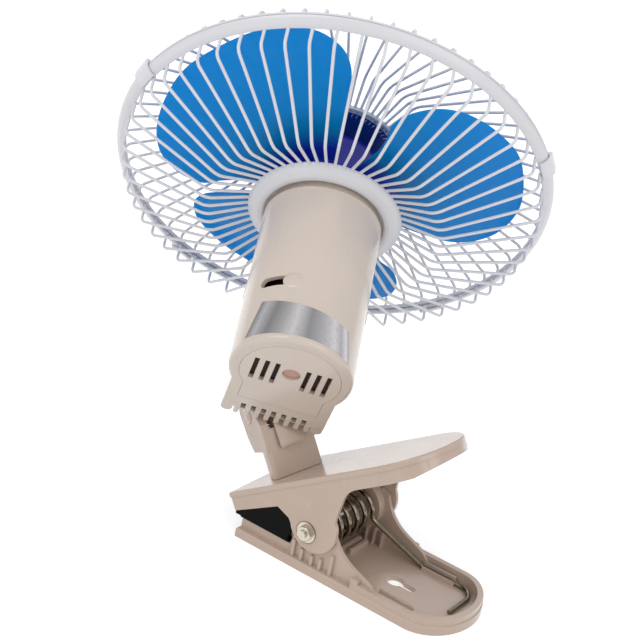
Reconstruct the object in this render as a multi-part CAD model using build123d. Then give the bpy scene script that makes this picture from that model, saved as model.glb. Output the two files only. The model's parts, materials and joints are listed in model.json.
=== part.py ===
from build123d import *
from math import sin, cos, pi, radians, degrees, hypot, sqrt, atan2, dist
import os

os.makedirs("parts", exist_ok=True)

# Clip fan, sizes in millimetres.
# Row frame: lower jaw level, X from the jaw tips to the handles, Z up,
# origin on the lower jaw's flat underside, below the middle of the pads.
# Every function below works in the frame its comment names.

# where things sit
grip_x = -27.0            # middle of the grip face from the hinge axis
grip_z = -9.5             # grip face below the hinge axis
open_angle = 33.2         # angle between the two jaws, pads closed
neck_x = -21.4            # swivel axis on the upper jaw
neck_turn = 24.8          # how far the neck is swivelled
tilt_b = 0.5              # tilt axis from the swivel axis
tilt_u = 32.8             # tilt axis above the upper jaw
tilt_angle = 60.26        # how far the head leans back
tilt_more = 4.0           # how much further it can lean
osc_turn = 38.95          # how far the head is turned
axis_drop = 50.46         # fan axis above the tilt axis
axis_back = 108.7         # tilt axis behind the guard ring's plane

# fits
run_fit = 0.05            # radial, a pin in its own bore
slip = 0.2                # flat faces that slide on each other
seam = 0.3                # between curved faces of two bodies

# upper jaw
u_top = 25.0
u_plate = 2.6
u_half = 27.0
u_tip = -39.4
u_end = 78.0
u_straight = 51.0
wall_out = 26.6
wall_in = 24.8
ear_x = 5.0
ear_z = 2.0
ear_r = 13.1
skirt_low = 16.0

# lower jaw
l_bottom = -20.7
l_floor = -18.2
l_lip = -16.0
l_half = 27.5
l_tip = -38.6
l_end = 81.0
l_straight = 60.0
rim_out = 26.9
rim_in = 24.0
rim_top = -12.55
rim_start = 30.8
web_out = 24.4
web_in = 22.2
jaw_wall_top = -11.3
spool_r = 7.5
boss_r = 12.2             # round cheeks of the jaw beside the coil
boss_y = 17.4
key_x = 37.9
key_r = 4.3
key_half = 2.2
key_end = 49.0

# hinge
bolt_r = 2.0
washer_r = 5.2
washer_t = 0.8
nut_flat = 7.0
nut_t = 2.4
ear_recess = 0.5

# spring
wire_r = 1.2
coil_r = 10.7
coil_first = 13.7         # first turn's place along the hinge
coil_pitch = 6.6
coil_start = 2.0          # degrees above the handle side
coil_turns = 4.348
leg_y = 20.2              # long leg along the far side of the tray
leg_end_x = 70.3
leg_bend = 9.0
top_leg = 16.0

# neck
neck_rear = 11.3
neck_half = 13.35
neck_centre = 8.2
fork_sill = 24.4          # floor of the fork beside the tail's slot
tail_gap = 0.45           # each side of the tail in its slot
floor_gap = 1.17          # between the tail's end and the slot's floor
cheek_r = 8.0
spigot_r = 6.0

# knuckle
barrel_r = 7.5
barrel_half = 9.1
tail_half = 5.15
tail_rear = 16.5
tail_front = 13.4
tail_low = -11.0
tail_high = 3.6
post_r = 4.0
post_top = 24.0

# head
shell_r = 29.2
shell_wall = 2.2
head_front = 26.3
head_seam = 78.0
head_rear = 123.0
cover_t = 2.2
cover_r = 23.7
cover_half = 19.4
cover_low = -26.0
neck_r = 27.5             # the housing's neck inside the guard's collar
neck_end = 31.0
chin_half = 25.0
chin_low = -38.4
chin_wall = 2.2
lug_in = 19.5
lug_low = -41.3
lug_front = 108.0
comb_low = -41.6
vent_pitch = 4.98
slot_from = -55.5         # the knob's slot, degrees from the top
slot_to = -20.5
slot_front = 86.4
slot_rear = 91.7
knob_at = -26.5
knob_r = 4.4
foil_edge = [(-22.0, 100.2), (19.3, 105.2), (22.6, 120.4), (-25.6, 118.8)]
shaft_r = 2.5

# guards
ring_r = 110.0
ring_in = 105.0           # inner edge of the rear guard's slanted band
ring_lip = 0.5            # its front edge
ring_back = 4.8           # its rear edge
rim_front = -1.1          # the front guard's rim
rim_back = 0.2
wire = 1.5
rear_ribs = 58
rear_first = 3.94         # degrees
front_ribs = 65
front_first = 1.57
collar_r = 37.8
collar_z = 25.2
badge_r = 27.3
badge_z = -20.5
eye_r = 31.2
rear_line = [
    (ring_in - 0.3, 3.6), (ring_in - 0.4, 12.6), (ring_in - 2.0, 14.8),
    (60.0, 31.6), (56.6, 31.8), (collar_r - 0.4, collar_z - 0.2)]
front_line = [
    (ring_r - 3.1, -0.5), (ring_r - 2.6, -4.8), (ring_r - 4.0, -7.0),
    (49.0, -27.2), (45.0, -27.4), (eye_r - 0.4, badge_z)]
clasp_line = [
    (ring_r - 1.2, -1.95), (ring_r + 0.85, -1.95), (ring_r + 0.85, 0.8),
    (ring_r + 0.1, 2.5), (ring_r - 1.9, 4.45), (ring_r - 3.6, 5.19)]
clasp_t = 1.3
clasp_half = 5.5
clasp_at = (30.2, 161.0, 236.0, 315.0)
screw_r = 21.0

# motor and gears
boss_top = 36.3
stud_r = 22.0             # motor studs from the shaft
stud_at = (45, 135, 225, 315)
rotor_r = 12.0
plate_t = 2.0
bracket_r = shell_r - shell_wall - 0.4
bush_r = 6.0
bush_l = 6.8
core_front = 44.0
core_rear = 62.0
rear_plate = 68.0
shaft_front = -15.3
shaft_rear = 92.0
worm_r = 4.5
wheel_r = 6.4
wheel_h = 11.2
wheel_z = 85.0
wheel_teeth = 20
crank_r = 3.0

# blade
blade_r = 96.0
blade_t = 1.6
blade_bow = 1.8
blade_pitch = 8.5         # twist across the petal
blade_rake = 8.5          # forward lean towards the tip
blade_mid = 12.0
blade_phase = 30.0
hub_r = 22.0
hub_front = -11.0
hub_rear = 13.5
nut_front = -16.5
petal_edge = [                # distance from the shaft and degrees
    (16, -50), (32, -54), (48, -54), (62, -53), (76, -51), (86, -46),
    (93, -37), (95.5, -22), (95.5, 0), (93.5, 15), (90.5, 28), (85, 37),
    (75, 42.5), (64, 43), (55, 36), (44, 28), (30, 24), (16, 30)]


# frames
upper_frame = Rot(0, -open_angle, 0)
neck_frame = upper_frame * Pos(neck_x, 0, u_top) * Rot(0, 0, -neck_turn)
tilt_frame = neck_frame * Pos(tilt_b, 0, tilt_u) * Rot(0, tilt_angle, 0)
swing_frame = tilt_frame * Rot(0, 0, -osc_turn)
head_plane = Plane(origin=(-axis_back, 0, axis_drop), x_dir=(0, 1, 0), z_dir=(1, 0, 0))
head_frame = swing_frame * head_plane.location
to_row = Pos(-grip_x, 0, -l_bottom)


# small tools
def save(name, shape, frame=None):
    moved = to_row * frame * shape if frame else to_row * shape
    moved.label = name
    export_step(moved, "parts/" + name + ".step")


def bar(x0, x1, y0, y1, z0, z1):
    return Pos((x0 + x1) / 2, (y0 + y1) / 2, (z0 + z1) / 2) * Box(x1 - x0, y1 - y0, z1 - z0)


def disc(r, z0, z1, x=0, y=0):
    return Pos(x, y, (z0 + z1) / 2) * Cylinder(r, z1 - z0)


def pin(r, y0, y1, x=0, z=0):
    return Pos(x, (y0 + y1) / 2, z) * Rot(90, 0, 0) * Cylinder(r, y1 - y0)


def turned(*corners):
    return revolve(make_face(Plane.XZ * Polyline(*corners, close=True)), Axis.Z)


def side_plane(y):
    return Plane(origin=(0, y, 0), x_dir=(1, 0, 0), z_dir=(0, -1, 0))


def side_prism(face, y0, y1):
    return extrude(side_plane(y1) * face, y1 - y0, dir=(0, -1, 0))


def top_prism(corners, z0, z1):
    return extrude(Pos(0, 0, z0) * make_face(Polyline(*corners, close=True)), z1 - z0, dir=(0, 0, 1))


def hexagon(flat, y0, y1):
    return Pos(0, y1, 0) * Rot(90, 0, 0) * extrude(RegularPolygon(flat / 2, 6, major_radius=False), y1 - y0)


def jaw_plan(tip, straight, end, half, z0, z1, inset=0.0):
    body = bar(tip + inset, straight, inset - half, half - inset, z0, z1)
    nose = extrude(Pos(straight, 0, z0) * Ellipse(end - straight - inset, half - inset), z1 - z0)
    return body + nose


def both_sides(shape):
    return shape + mirror(shape, Plane.XZ)


# upper jaw, in its own frame: hinge at 0, plate level
def wall_side():
    front = [(u_tip - 1, u_top), (u_tip - 1, 15.9), (-12.3, 14.5), (-7.8, 8.2), (-7.5, 3.5)]
    front += [(ear_x, ear_z), (17.9, 1.0)]
    arch = Spline((17.9, 1.0), (22.3, 6.9), (27.4, 12.5), (36.0, skirt_low), tangents=((0.35, 1), (1, 0.05)))
    back = Polyline((36.0, skirt_low), (66.0, skirt_low), (u_end + 1, 18.8), (u_end + 1, u_top), front[0])
    return make_face([Polyline(*front), arch, back]) + Pos(ear_x, ear_z) * Circle(ear_r)


def upper_jaw():
    plate = jaw_plan(u_tip, u_straight, u_end, u_half, u_top - u_plate, u_top)
    plate = fillet(plate.edges().group_by(Axis.Z)[-1], 0.9)
    low = ear_z - ear_r - 1
    outer = jaw_plan(u_tip, u_straight, u_end, u_half, low, u_top - 1, u_half - wall_out)
    inner = jaw_plan(u_tip, u_straight, u_end, u_half, low, u_top - 0.5, u_half - wall_in)
    walls = (outer - inner) & side_prism(wall_side(), -30, 30)
    ribs = both_sides(bar(28, 68, 10.3, 11.7, u_top - 5, u_top - 2))
    ribs += bar(30, 31.4, -24.9, 24.9, u_top - 5, u_top - 2)
    body = plate + walls + ribs
    body -= disc(spigot_r + 0.08, 0, u_top + 1, neck_x)
    body -= pin(bolt_r + run_fit, -30, 30)
    for y in (-wall_out - 1, wall_out - ear_recess):
        body -= pin(washer_r + 0.5, y, y + 1 + ear_recess)
    return body


# upper pad, level with the lower jaw
def upper_pad():
    edge = [(-9.9, grip_z), (-9.92, -8.4), (-8.3, -1.2), (-10.9, 2.9), (-18.0, 8.0)]
    edge += [(-44.0, -7.0), (-41.2, grip_z)]
    wedge = side_prism(make_face(Polyline(*edge, close=True)), -26.2, 26.2)
    wedge &= bar(-41.2, 0, -30, 30, grip_z, 30)
    wedge -= upper_frame * side_prism(wall_side(), -30, 30)
    tongue = upper_frame * bar(-37.0, -12.0, -wall_in + seam, wall_in - seam, 5, u_top - u_plate)
    above = bar(-50, 0, -30, 30, grip_z + 2, 40)
    body = wedge + (tongue & above) - upper_frame * bar(-34.0, -5.0, -20, 20, 8, u_top)
    return body - pin(coil_r + 2.2, -23.8, 23.8)


# lower jaw, level
def lower_jaw():
    body = jaw_plan(l_tip, l_straight, l_end, l_half, l_bottom, l_lip)
    body = fillet(body.edges().group_by(Axis.Z)[-1], 0.7)
    body += jaw_plan(rim_start, l_straight, l_end, l_half, l_lip - 1, rim_top, l_half - rim_out)
    tray = jaw_plan(rim_start - 4, l_straight, l_end, l_half, l_floor, 0, l_half - rim_in)
    body -= tray
    body -= bar(l_tip + 2.4, rim_start + 2, -web_in, web_in, l_floor, 0)
    foot = [(-8.6, jaw_wall_top), (-7.6, -4), (-7.0, 3), (-3, 7.2), (2, 9.6), (8, 10.4), (12.8, 8.5)]
    dip = [(12.8, 8.5), (15.3, 2.6), (22.2, -4.8), (29.3, -8.3), (38.0, -12.0)]
    web = Spline(*dip, tangents=((0.3, -1), (1, -0.5)))
    tip = l_tip + 0.8
    low = Polyline(dip[-1], (44, l_floor - 1), (tip, l_floor - 1), (tip, jaw_wall_top), foot[0])
    wall = side_prism(make_face([Polyline(*foot), web, low]), web_in, web_out)
    wall += pin(spool_r, 15.6, web_in + 1)
    wall += pin(boss_r, boss_y, web_in + 1)
    body += both_sides(wall)
    body += bar(l_tip + 0.8, l_tip + 3.0, -web_out, web_out, l_floor - 1, jaw_wall_top)
    for x in (-29, -20, -11):
        body += bar(x, x + 1.6, -web_in - 1, web_in + 1, l_floor - 1, jaw_wall_top)
    for x, top in ((-6, -7.2), (-1, -10.0), (5, -10.9), (10, -10.2), (16, -5.6)):
        body += both_sides(bar(x - 0.8, x + 0.8, web_out - 1, web_out + 1.6, l_lip - 1, top))
    body += both_sides(bar(28.6, 32.6, web_out - 1, rim_out, l_lip - 1, -10.6))
    body += both_sides(bar(40.5, 59, 18.6, 20.0, l_floor - 1, -15.9) & bar(0, 99, 0, 18.9, -30, 0))
    for x, y0, y1 in ((5, -16, 16), (9, 1, 16)):
        body += bar(x, x + 1.4, y0, y1, l_floor - 1, -15.4)
    key = disc(key_r, -30, 0, key_x) + bar(key_x, key_end - key_half, -key_half, key_half, -30, 0)
    key += disc(key_half, -30, 0, key_end - key_half)
    body -= key
    return body - pin(bolt_r + run_fit, -30, 30)


def lower_pad():
    return bar(l_tip - 0.6, -10.2, -web_out, web_out, jaw_wall_top, grip_z - seam)


# hinge hardware
def hinge_bolt():
    head_y = wall_out - ear_recess
    head = fillet(pin(4.0, head_y, head_y + 2.6).edges().group_by(Axis.Y)[-1], 1.0)
    body = pin(bolt_r, -wall_out + ear_recess - washer_t - nut_t - 1.2, head_y + 1) + head
    return body - Pos(0, head_y + 2.6, 0) * Box(5, 1.6, 0.9)


def hinge_washer():
    y = -wall_out + ear_recess
    return pin(washer_r, y - washer_t, y) - pin(bolt_r + 0.1, -30, 30)


def hinge_nut():
    y = -wall_out + ear_recess - washer_t
    nut = hexagon(nut_flat, y - nut_t, y) & rounded_nut(y)
    return nut - pin(bolt_r + run_fit, -40, 30)


def rounded_nut(y):
    rounded = Cylinder(nut_flat * 0.56, nut_t)
    rounded = chamfer(rounded.edges().group_by(Axis.Z)[-1], 0.5)
    return Pos(0, y - nut_t / 2, 0) * Rot(90, 0, 0) * rounded


def coil_point(turn):
    angle = radians(coil_start) + 2 * pi * turn
    return Vector(coil_r * cos(angle), coil_first - coil_pitch * turn, coil_r * sin(angle))


def coil_heading(turn):
    angle = radians(coil_start) + 2 * pi * turn
    return Vector(-sin(angle), -coil_pitch / (2 * pi * coil_r), cos(angle)).normalized()


def arc_pair(p0, t0, p1, t1):
    """two arcs that leave p0 along t0, arrive at p1 along t1 and share a tangent"""
    chord = p1 - p0
    both = chord.dot(t0 + t1)
    k = 2 * (1 - t0.dot(t1))
    reach = (sqrt(both * both + k * chord.dot(chord)) - both) / k
    joint = (p0 + t0 * reach + p1 - t1 * reach) * 0.5
    return [TangentArc(p0, joint, tangent=t0), TangentArc(p1, joint, tangent=t1 * -1)]


def spring_path():
    floor_z = l_floor + wire_r + 0.05
    along = Vector(-1, 0, 0)
    p = [Vector(*v) for v in ((leg_end_x, -4, floor_z), (leg_end_x, leg_y - leg_bend, floor_z),
                              (leg_end_x - leg_bend, leg_y, floor_z), (41.5, leg_y, floor_z),
                              (35.0, leg_y - 0.6, floor_z + 2.0), (16.0, 15.2, -5.0))]
    rise = (p[5] - p[4]).normalized()
    path = [Line(p[0], p[1])] + arc_pair(p[1], Vector(0, 1, 0), p[2], along) + [Line(p[2], p[3])]
    path += arc_pair(p[3], along, p[4], rise) + [Line(p[4], p[5])]
    path += arc_pair(p[5], rise, coil_point(0), coil_heading(0))
    stops = [k / 4 for k in range(int(coil_turns * 4) + 1)] + [coil_turns]
    for t0, t1 in zip(stops, stops[1:]):
        path += arc_pair(coil_point(t0), coil_heading(t0), coil_point(t1), coil_heading(t1))
    last = coil_point(coil_turns)
    return path + [Line(last, last + coil_heading(coil_turns) * top_leg)]


def least_gap(path, steps=900):
    # between points of the wire that lie well apart along it, less its thickness
    places = [path @ (k / steps) for k in range(steps + 1)]
    dots = [(p.X, p.Y, p.Z) for p in places]
    skip = int(12 * wire_r / path.length * steps)
    apart = min(dist(dots[i], dots[j]) for i in range(steps - skip) for j in range(i + skip, steps + 1))
    return apart - 2 * wire_r


def torsion_spring():
    path = Wire(spring_path())
    print("least gap of the spring to itself:", round(least_gap(path), 2), "mm")
    return sweep(Plane(origin=path @ 0, z_dir=path % 0) * Circle(wire_r), path=path)


# neck, in its own frame: swivel axis Z, rear +X, tilt axis along Y
def tail_slot():
    steep = radians(tilt_angle + tilt_more)
    wall = tilt_b + tail_front * cos(steep) + tail_low * sin(steep)
    half = tail_half + tail_gap
    room = pin(hypot(tail_rear, tail_low) + floor_gap, -half, half, tilt_b, tilt_u)
    return room & bar(wall, 30, -30, 30, 10, 60)


def neck_arm():
    block = bar(neck_centre, neck_rear, -neck_half, neck_half, slip, 30)
    column = block + (disc(neck_half, slip, 30, neck_centre) & bar(-20, neck_rear, -20, 20, 0, 30))
    column = fillet(column.edges().filter_by(Axis.Z).group_by(Axis.X)[-1], 1.6)
    edge = [(-4.0, 14), (neck_rear, 14), (neck_rear, 27), (8.6, 33), (-7.4, 33), (-6.6, 22)]
    cheek = make_face(Polyline(*edge, close=True))
    cheek += Pos(tilt_b, tilt_u) * Circle(cheek_r)
    body = column & bar(-20, 20, -20, 20, 0, 26)
    body += side_prism(cheek, -neck_half, neck_half) & disc(17.5, 0, 60, 2)
    body -= tail_slot()
    body -= bar(-30, 30, -barrel_half - slip, barrel_half + slip, fork_sill, 60)
    body += disc(spigot_r, -u_plate - slip, slip + 1)
    body -= pin(bolt_r + run_fit, -30, 30, tilt_b, tilt_u)
    for y in (-neck_half - 1, neck_half - 1.6):
        body -= pin(4.4, y, y + 2.6, tilt_b, tilt_u)
    return body - disc(1.6, -10, 9)


def swivel_washer():
    top = -u_plate - slip
    return disc(9.4, top - 1.2, top) - disc(2.1, -10, 0)


def swivel_screw():
    top = -u_plate - slip - 1.2
    head = fillet(disc(3.6, top - 2.2, top).edges().group_by(Axis.Z)[0], 0.8)
    return head + disc(1.6, top - 1, 8) - Pos(0, 0, top - 2.2) * Box(5, 0.8, 1.6)


def tilt_bolt():
    y = neck_half - 1.6
    head = fillet(pin(3.9, y, y + 1.5, tilt_b, tilt_u).edges().group_by(Axis.Y)[-1], 0.5)
    return head + pin(bolt_r, -neck_half + 0.2, y + 1, tilt_b, tilt_u)


def tilt_nut():
    y = -neck_half + 1.6
    nut = Pos(tilt_b, 0, tilt_u) * hexagon(nut_flat, y - 1.5, y)
    return nut - pin(bolt_r + run_fit, -30, 30, tilt_b, tilt_u)


# knuckle, in the tilt frame: rear +X, tilt axis Y, post up Z
def tilt_knuckle():
    barrel = pin(barrel_r, -barrel_half, barrel_half)
    tail = bar(tail_front, tail_rear, -tail_half, tail_half, tail_low, tail_high)
    tail = fillet(tail.edges().filter_by(Axis.Y), 1.2)
    web = bar(0, tail_front + 1, -tail_half, tail_half, -1, 3.4)
    flange = disc(8.6, barrel_r, axis_drop + chin_low - slip)
    post = disc(6.5, 0, barrel_r + 1) + disc(post_r, 0, post_top)
    body = barrel + tail + web + flange + post
    return body - pin(bolt_r + run_fit, -30, 30) - disc(1.3, 12, 40)


def pivot_screw():
    head = disc(3.4, post_top + 1.0, post_top + 3.0)
    return head + disc(1.3, 13, post_top + 2)


def pivot_washer():
    return disc(6.6, post_top, post_top + 1.0) - disc(1.5, 0, 60)


# head, in the head frame: X right, Y up, Z rearwards
def on_post(shape):
    return Pos(0, -axis_drop, axis_back) * Rot(-90, 0, 0) * shape


def post_disc(r, up0, up1):
    return on_post(Pos(0, 0, (up0 + up1) / 2) * Cylinder(r, up1 - up0))


def chin_solid(inset, low):
    side = chin_half - inset
    front = 94.0 + inset
    rear = head_rear + inset
    loop = [(side, rear), (side, front + 5), (side - 3, front)]
    loop += [(-x, z) for x, z in reversed(loop)]
    floor = Plane(origin=(0, low, 0), x_dir=(1, 0, 0), z_dir=(0, -1, 0))
    face = make_face(floor * Polyline(*loop, close=True))
    return extrude(face, -low, dir=(0, 1, 0))


def side_lug(side):
    middle = side * (lug_in + chin_half) / 2
    half = (chin_half - lug_in) / 2
    lug = bar(middle - half, middle + half, lug_low, chin_low + 3, lug_front, head_rear - 0.4)
    return fillet(lug.edges().group_by(Axis.Y)[0].filter_by(Axis.Z), half - 0.2)


def cover_face(grow):
    half = cover_half + grow
    low = cover_low - grow
    block = make_face(Polyline((-half, 0), (half, 0), (half, low), (-half, low), close=True))
    return Circle(cover_r + grow) + block


def at_screws(shape):
    return [Pos(screw_r * cos(radians(a)), screw_r * sin(radians(a))) * shape for a in stud_at]


def front_housing():
    r = shell_r
    w = shell_wall
    shell = turned((9.5, head_front), (neck_r, head_front), (neck_r, neck_end), (r - 0.5, neck_end + 0.2),
                   (r, neck_end + 1.0), (r, head_seam), (r - w, head_seam), (r - w, neck_end + 2.4),
                   (neck_r - w, neck_end + 1.0), (neck_r - w, head_front + w), (9.5, head_front + w))
    bosses = at_screws(disc(3.2, head_front, boss_top))
    return shell + bosses - at_screws(disc(1.2, head_front - 1, head_front + 7.5))


def rear_housing():
    r = shell_r
    w = shell_wall
    body = disc(r, head_seam, head_rear)
    body = fillet(body.edges().group_by(Axis.Z)[-1], 2.4)
    chin = chin_solid(0, chin_low)
    chin = fillet(chin.edges().group_by(Axis.Y)[0], 3.0)
    body += chin
    inside = disc(r - w, head_seam - 1, head_rear - 2 * cover_t)
    inside += chin_solid(chin_wall, chin_low + chin_wall) & bar(-40, 40, -60, 0, 80, head_rear - cover_t)
    body -= inside
    body -= extrude(Pos(0, 0, head_rear - cover_t) * cover_face(0.15), 5)
    body -= extrude(Pos(0, 0, head_rear - 3 * cover_t) * cover_face(-2.2), 9)
    for i in range(7):
        x = (i - 3) * vent_pitch
        body -= bar(x - 1.2, x + 1.2, -36.3, -31.7, head_rear - 4, head_rear + 1)
    for i in range(8):
        x = (i - 3.5) * vent_pitch
        body += bar(x - 1.2, x + 1.2, comb_low + 1.2, -36, head_rear - 5, head_rear - 0.4)
        body += disc(1.2, head_rear - 5, head_rear - 0.4, x, comb_low + 1.2)
    body += side_lug(-1) + side_lug(1)
    body += post_disc(8.8, axis_drop + chin_low, 22.5) & bar(-40, 40, -60, -18, 80, 122)
    body -= post_disc(6.5, 0, 40) & bar(-40, 40, -60, -20, 80, 122)
    end = slot_from + 5.2
    middle = (slot_front + slot_rear) / 2
    body -= sector(shell_r + 1, end, slot_to, slot_front, slot_rear)
    return body - radial(end, middle, Pos(0, 0, shell_r) * Cylinder((slot_rear - slot_front) / 2, 8))


def radial(angle, z, shape):
    """a shape that stands up Z, turned to stand out of the shell, degrees from the top"""
    return Pos(0, 0, z) * Rot(0, 0, -angle) * Rot(-90, 0, 0) * shape


def sector(r, a0, a1, z0, z1):
    fan = [(0, 0)] + [(2 * r * sin(radians(a)), 2 * r * cos(radians(a))) for a in (a0, (a0 + a1) / 2, a1)]
    return top_prism(fan, z0, z1) & (disc(r, z0, z1) - disc(r - 6, z0 - 1, z1 + 1))


def rear_cover():
    plate = extrude(Pos(0, 0, head_rear - cover_t) * cover_face(0), cover_t)
    for x in (7.33, 12.26, 17.2):
        for s in (-1, 1):
            plate -= bar(s * x - 1.15, s * x + 1.15, -8.6, 8.3, head_rear - 9, head_rear + 1)
    return plate - disc(4.3, head_rear - 1.4, head_rear + 1, 0, 2.3)


def label_foil():
    sheet = disc(shell_r + 0.25, 99.5, 120.4) - disc(shell_r, 99, 123)
    edge = foil_edge
    face = make_face(Plane(origin=(0, 1, 0), x_dir=(1, 0, 0), z_dir=(0, -1, 0)) * Polyline(*edge, close=True))
    return sheet & extrude(face, 60, dir=(0, 1, 0))


def oscillation_knob():
    stem = Cylinder(2.2, 7)
    cap = fillet(Cylinder(knob_r, 2.4).edges().group_by(Axis.Z)[-1], 1.0)
    knob = Pos(0, 0, shell_r + 1.4) * cap + Pos(0, 0, shell_r - 2.0) * stem
    foot = Pos(0, 0, shell_r - shell_wall - 2.2) * Cylinder(3.6, 1.4)
    return radial(knob_at, (slot_front + slot_rear) / 2, knob + foot)


def pivot_bush():
    return post_disc(6.5, axis_drop + chin_low, 23.8) - post_disc(post_r + run_fit, 0, 60)


# motor
def around(shape, angles):
    return [Rot(0, 0, a) * shape for a in angles]


def motor_stator():
    core = disc(stud_r + 2, core_front, core_rear) - disc(rotor_r + 0.4, 40, 70)
    return core - around(disc(3.2, 40, 70, 16.2), (0, 90, 180, 270))


def motor_winding():
    ends = (core_front - 4.5, core_rear + 0.5)
    rings = [disc(19.0, z, z + 4) - disc(rotor_r + 1.4, z - 1, z + 9) for z in ends]
    return rings[0] + rings[1] + around(disc(2.6, core_front - 4, core_rear + 4, 16.2), (0, 90, 180, 270))


def motor_rotor():
    return disc(rotor_r, core_front, core_rear) - disc(shaft_r, 30, 90)


def front_bracket():
    plate = disc(bracket_r, boss_top, boss_top + plate_t) - disc(bush_r, 30, 40)
    return plate + around(disc(1.6, boss_top + 1, core_front, stud_r), stud_at)


def rear_bracket():
    plate = disc(bracket_r, rear_plate, rear_plate + plate_t) - disc(bush_r, 60, 80)
    return plate + around(disc(1.6, core_rear, rear_plate + 1, stud_r), stud_at)


def bush(middle):
    z0 = middle - bush_l / 2
    return disc(bush_r, z0, z0 + bush_l) - disc(shaft_r + run_fit, z0 - 1, z0 + bush_l + 1)


def motor_shaft():
    return disc(shaft_r, shaft_front, shaft_rear)


def worm():
    body = disc(worm_r, 80, 90)
    for z in (81.2, 83.2, 85.2, 87.2):
        body -= disc(6, z, z + 0.9) - disc(worm_r - 0.9, z - 1, z + 2)
    return body - disc(shaft_r, 70, 100)


def down_disc(r, m0, m1, h, z):
    return Pos(h, (m0 + m1) / 2, z) * Rot(90, 0, 0) * Cylinder(r, abs(m1 - m0))


def worm_wheel():
    body = down_disc(wheel_r, -2.5, 2.5, wheel_h, wheel_z)
    tooth = Pos(wheel_r, 0, 0) * Box(1.6, 0.9, 8)
    middle = Pos(wheel_h, 0, wheel_z) * Rot(90, 0, 0)
    body -= [middle * Rot(0, 0, k * 360 / wheel_teeth) * tooth for k in range(wheel_teeth)]
    body += down_disc(2.0, -12.5, 0, wheel_h, wheel_z)
    body += down_disc(5.0, -12.5, -10.5, wheel_h, wheel_z)
    return body + down_disc(1.5, -15.2, -11, wheel_h, wheel_z + crank_r)


def crank_link():
    z = wheel_z + crank_r
    arm = down_disc(3.0, -14.6, -13.0, wheel_h, z) + down_disc(3.0, -14.6, -13.0, 0, axis_back)
    length = hypot(wheel_h, axis_back - z)
    middle = Pos(wheel_h / 2, -13.8, (z + axis_back) / 2)
    slope = degrees(atan2(wheel_h, axis_back - z))
    arm += middle * Rot(0, -slope, 0) * Box(3.4, 1.6, length)
    return arm - down_disc(1.5 + run_fit, -20, 0, wheel_h, z) - down_disc(1.6, -20, 0, 0, axis_back)


def gearbox_plate():
    plate = bar(-16, 18, -8.0, -6.2, 70.4, 97)
    plate += bar(-16, 18, -14, -6.2, 70.4, 72.2)
    return plate - down_disc(2.0 + run_fit, -30, 0, wheel_h, wheel_z)


# blade
def petal():
    dots = [(r * cos(radians(a)), r * sin(radians(a))) for r, a in petal_edge]
    outline = make_face([Spline(*dots), Line(dots[-1], dots[0])])
    column = extrude(Pos(0, 0, -40) * outline, 80)
    half = blade_r
    t = blade_t / 2
    top = ThreePointArc((-half, t - blade_bow), (0, t), (half, t - blade_bow))
    low = ThreePointArc((half, -t - blade_bow), (0, -t), (-half, -t - blade_bow))
    ends = [Line(top @ 1, low @ 0), Line(low @ 1, top @ 0)]
    strip = make_face([top, ends[0], low, ends[1]])
    across = Plane(origin=(0, 0, 0), x_dir=(0, 1, 0), z_dir=(1, 0, 0))
    sheet = extrude(across * Rot(0, 0, blade_pitch) * strip, blade_r + 10, dir=(1, 0, 0))
    return column & Pos(0, 0, blade_mid) * Rot(0, blade_rake, 0) * sheet


def fan_blade():
    hub = turned((0, hub_front), (hub_r - 3, hub_front), (hub_r, hub_front + 4), (hub_r, hub_rear),
                 (hub_r - 2, hub_rear), (hub_r - 2, hub_front + 4.6), (6, hub_front + 2.4),
                 (6, hub_rear), (0, hub_rear))
    blades = around(petal(), [blade_phase + 120 * k for k in range(3)])
    keep = disc(blade_r, -40, 40) - disc(hub_r - 1, -40, 40)
    body = hub
    for blade in blades:
        body += blade & keep
    return body - disc(shaft_r, -60, 60)


def blade_nut():
    body = turned((0, nut_front), (4.5, nut_front), (8.0, hub_front), (0, hub_front))
    return body - disc(shaft_r, shaft_front, 0)


# guards
def rib(corners, width, thick):
    face = make_face(offset(Polyline(*corners), thick / 2, kind=Kind.INTERSECTION).edges())
    return side_prism(face, -width / 2, width / 2)


def rear_guard():
    band = turned((ring_r, ring_lip), (ring_r - 0.6, ring_lip + 1.4), (ring_r - 2.4, ring_back - 1.1),
                  (ring_in, ring_back), (ring_in - 0.6, ring_back - 1.6), (ring_r - 3.2, ring_lip + 1.6),
                  (ring_r - 1.9, ring_lip))
    hub = turned((12, head_front - 2), (30, head_front - 2), (collar_r, collar_z - 1.4),
                 (collar_r + 0.6, collar_z), (collar_r, collar_z + 0.9), (31.4, 29.6),
                 (shell_r + seam, 29.6), (shell_r + seam, head_front), (12, head_front))
    one = rib(rear_line, wire, wire)
    ribs = around(one, [rear_first + 360 * k / rear_ribs for k in range(rear_ribs)])
    body = band + hub + ribs
    return body - at_screws(disc(1.3, 0, 40))


def guard_screws():
    screw = disc(1.2, head_front - 3, head_front + 7) + disc(2.6, head_front - 4, head_front - 2)
    return at_screws(screw)


def front_guard():
    rim = turned((ring_r - 4.6, rim_front), (ring_r, rim_front), (ring_r, rim_back),
                 (ring_r - 3.0, rim_back), (ring_r - 3.0, rim_back + 1.0), (ring_r - 4.6, rim_back + 1.0))
    eye = disc(eye_r, badge_z - 1.1, badge_z + 1.0) - disc(badge_r + 0.2, badge_z - 2, badge_z + 2)
    one = rib(front_line, wire, wire)
    return rim + eye + around(one, [front_first + 360 * k / front_ribs for k in range(front_ribs)])


def guard_badge():
    front = badge_z - 3.1
    return turned((0, front), (22, front + 0.2), (29, front + 0.9), (30, front + 1.4), (30, badge_z - 1.3),
                  (badge_r, badge_z - 1.3), (badge_r, badge_z + 0.5), (0, badge_z + 0.5))


def guard_clasps():
    return around(rib(clasp_line, 2 * clasp_half, clasp_t), clasp_at)


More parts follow.
